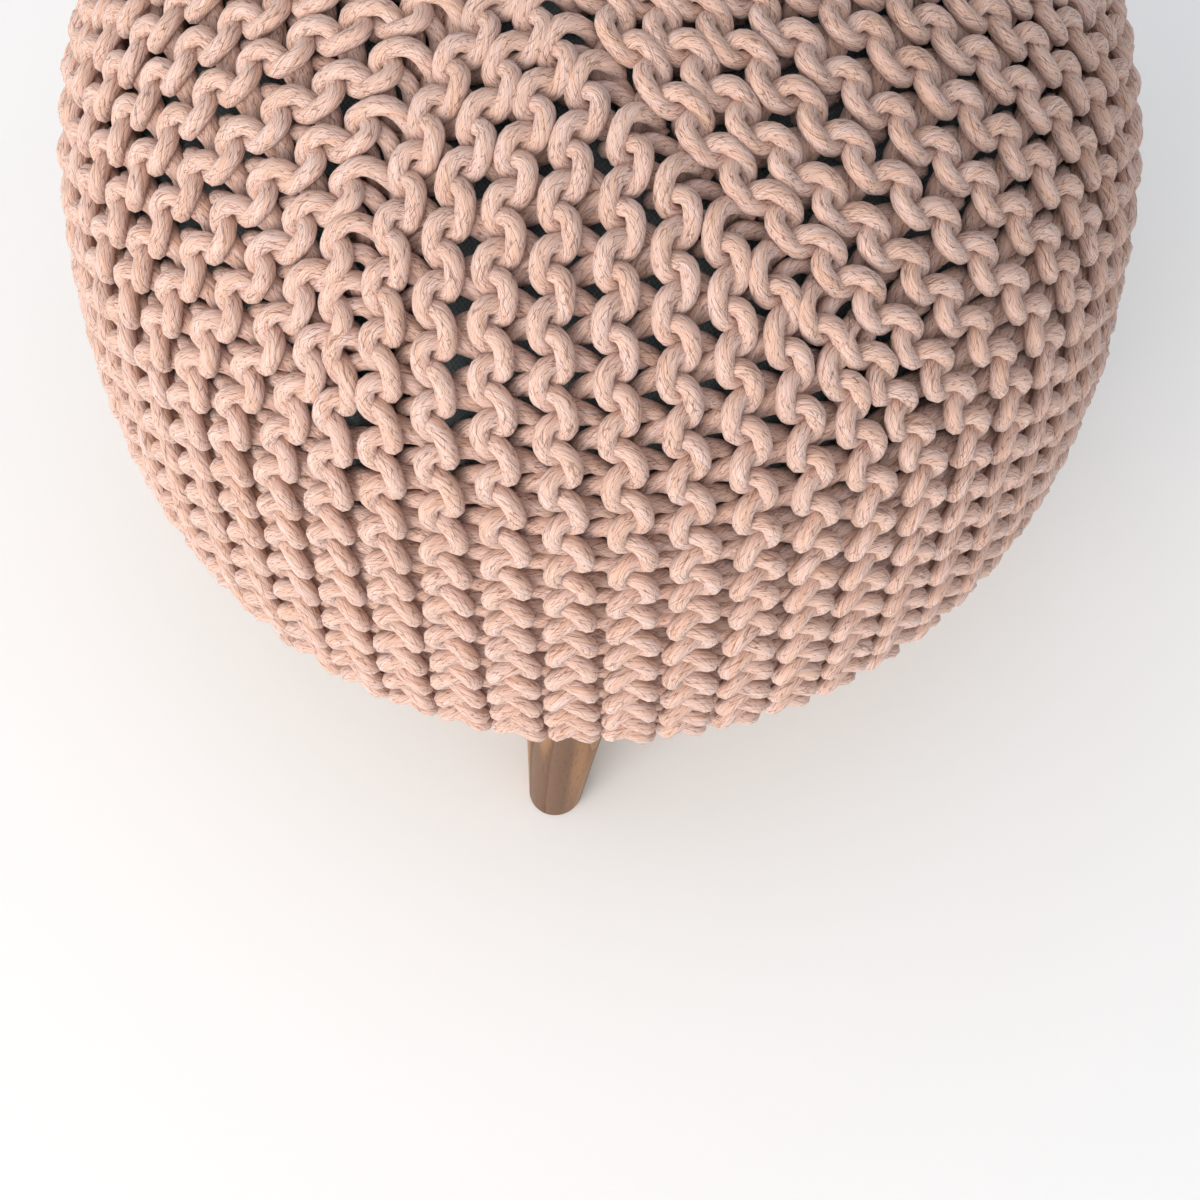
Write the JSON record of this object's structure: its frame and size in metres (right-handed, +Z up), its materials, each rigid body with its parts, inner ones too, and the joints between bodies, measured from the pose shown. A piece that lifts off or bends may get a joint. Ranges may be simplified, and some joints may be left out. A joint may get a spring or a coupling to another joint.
{
  "type": "round knitted footstool",
  "caption": "Round footstool: a dome-shaped padded body in a chunky garter-stitch rope cover, on splayed tapered wooden legs.",
  "frame": {"origin": "on the floor under the middle of the stool", "axes": "+Z up, -Y towards the front leg, +X towards the leg on the right"},
  "size_m": [0.45, 0.4495, 0.47],
  "materials": {
    "rope": "matt plied cotton rope, blush pink with fine darker flecks",
    "lining": "plain woven lining cloth, dark slate",
    "board": "plain birch plywood, unvarnished",
    "leg_wood": "turned hardwood, medium brown, satin lacquer"
  },
  "bodies": {
    "root": {"knit_cover": "rope", "inner_pad": "lining", "base_board": "board", "leg_front": "leg_wood", "leg_right": "leg_wood", "leg_back": "leg_wood", "leg_left": "leg_wood"}
  },
  "joints": []
}
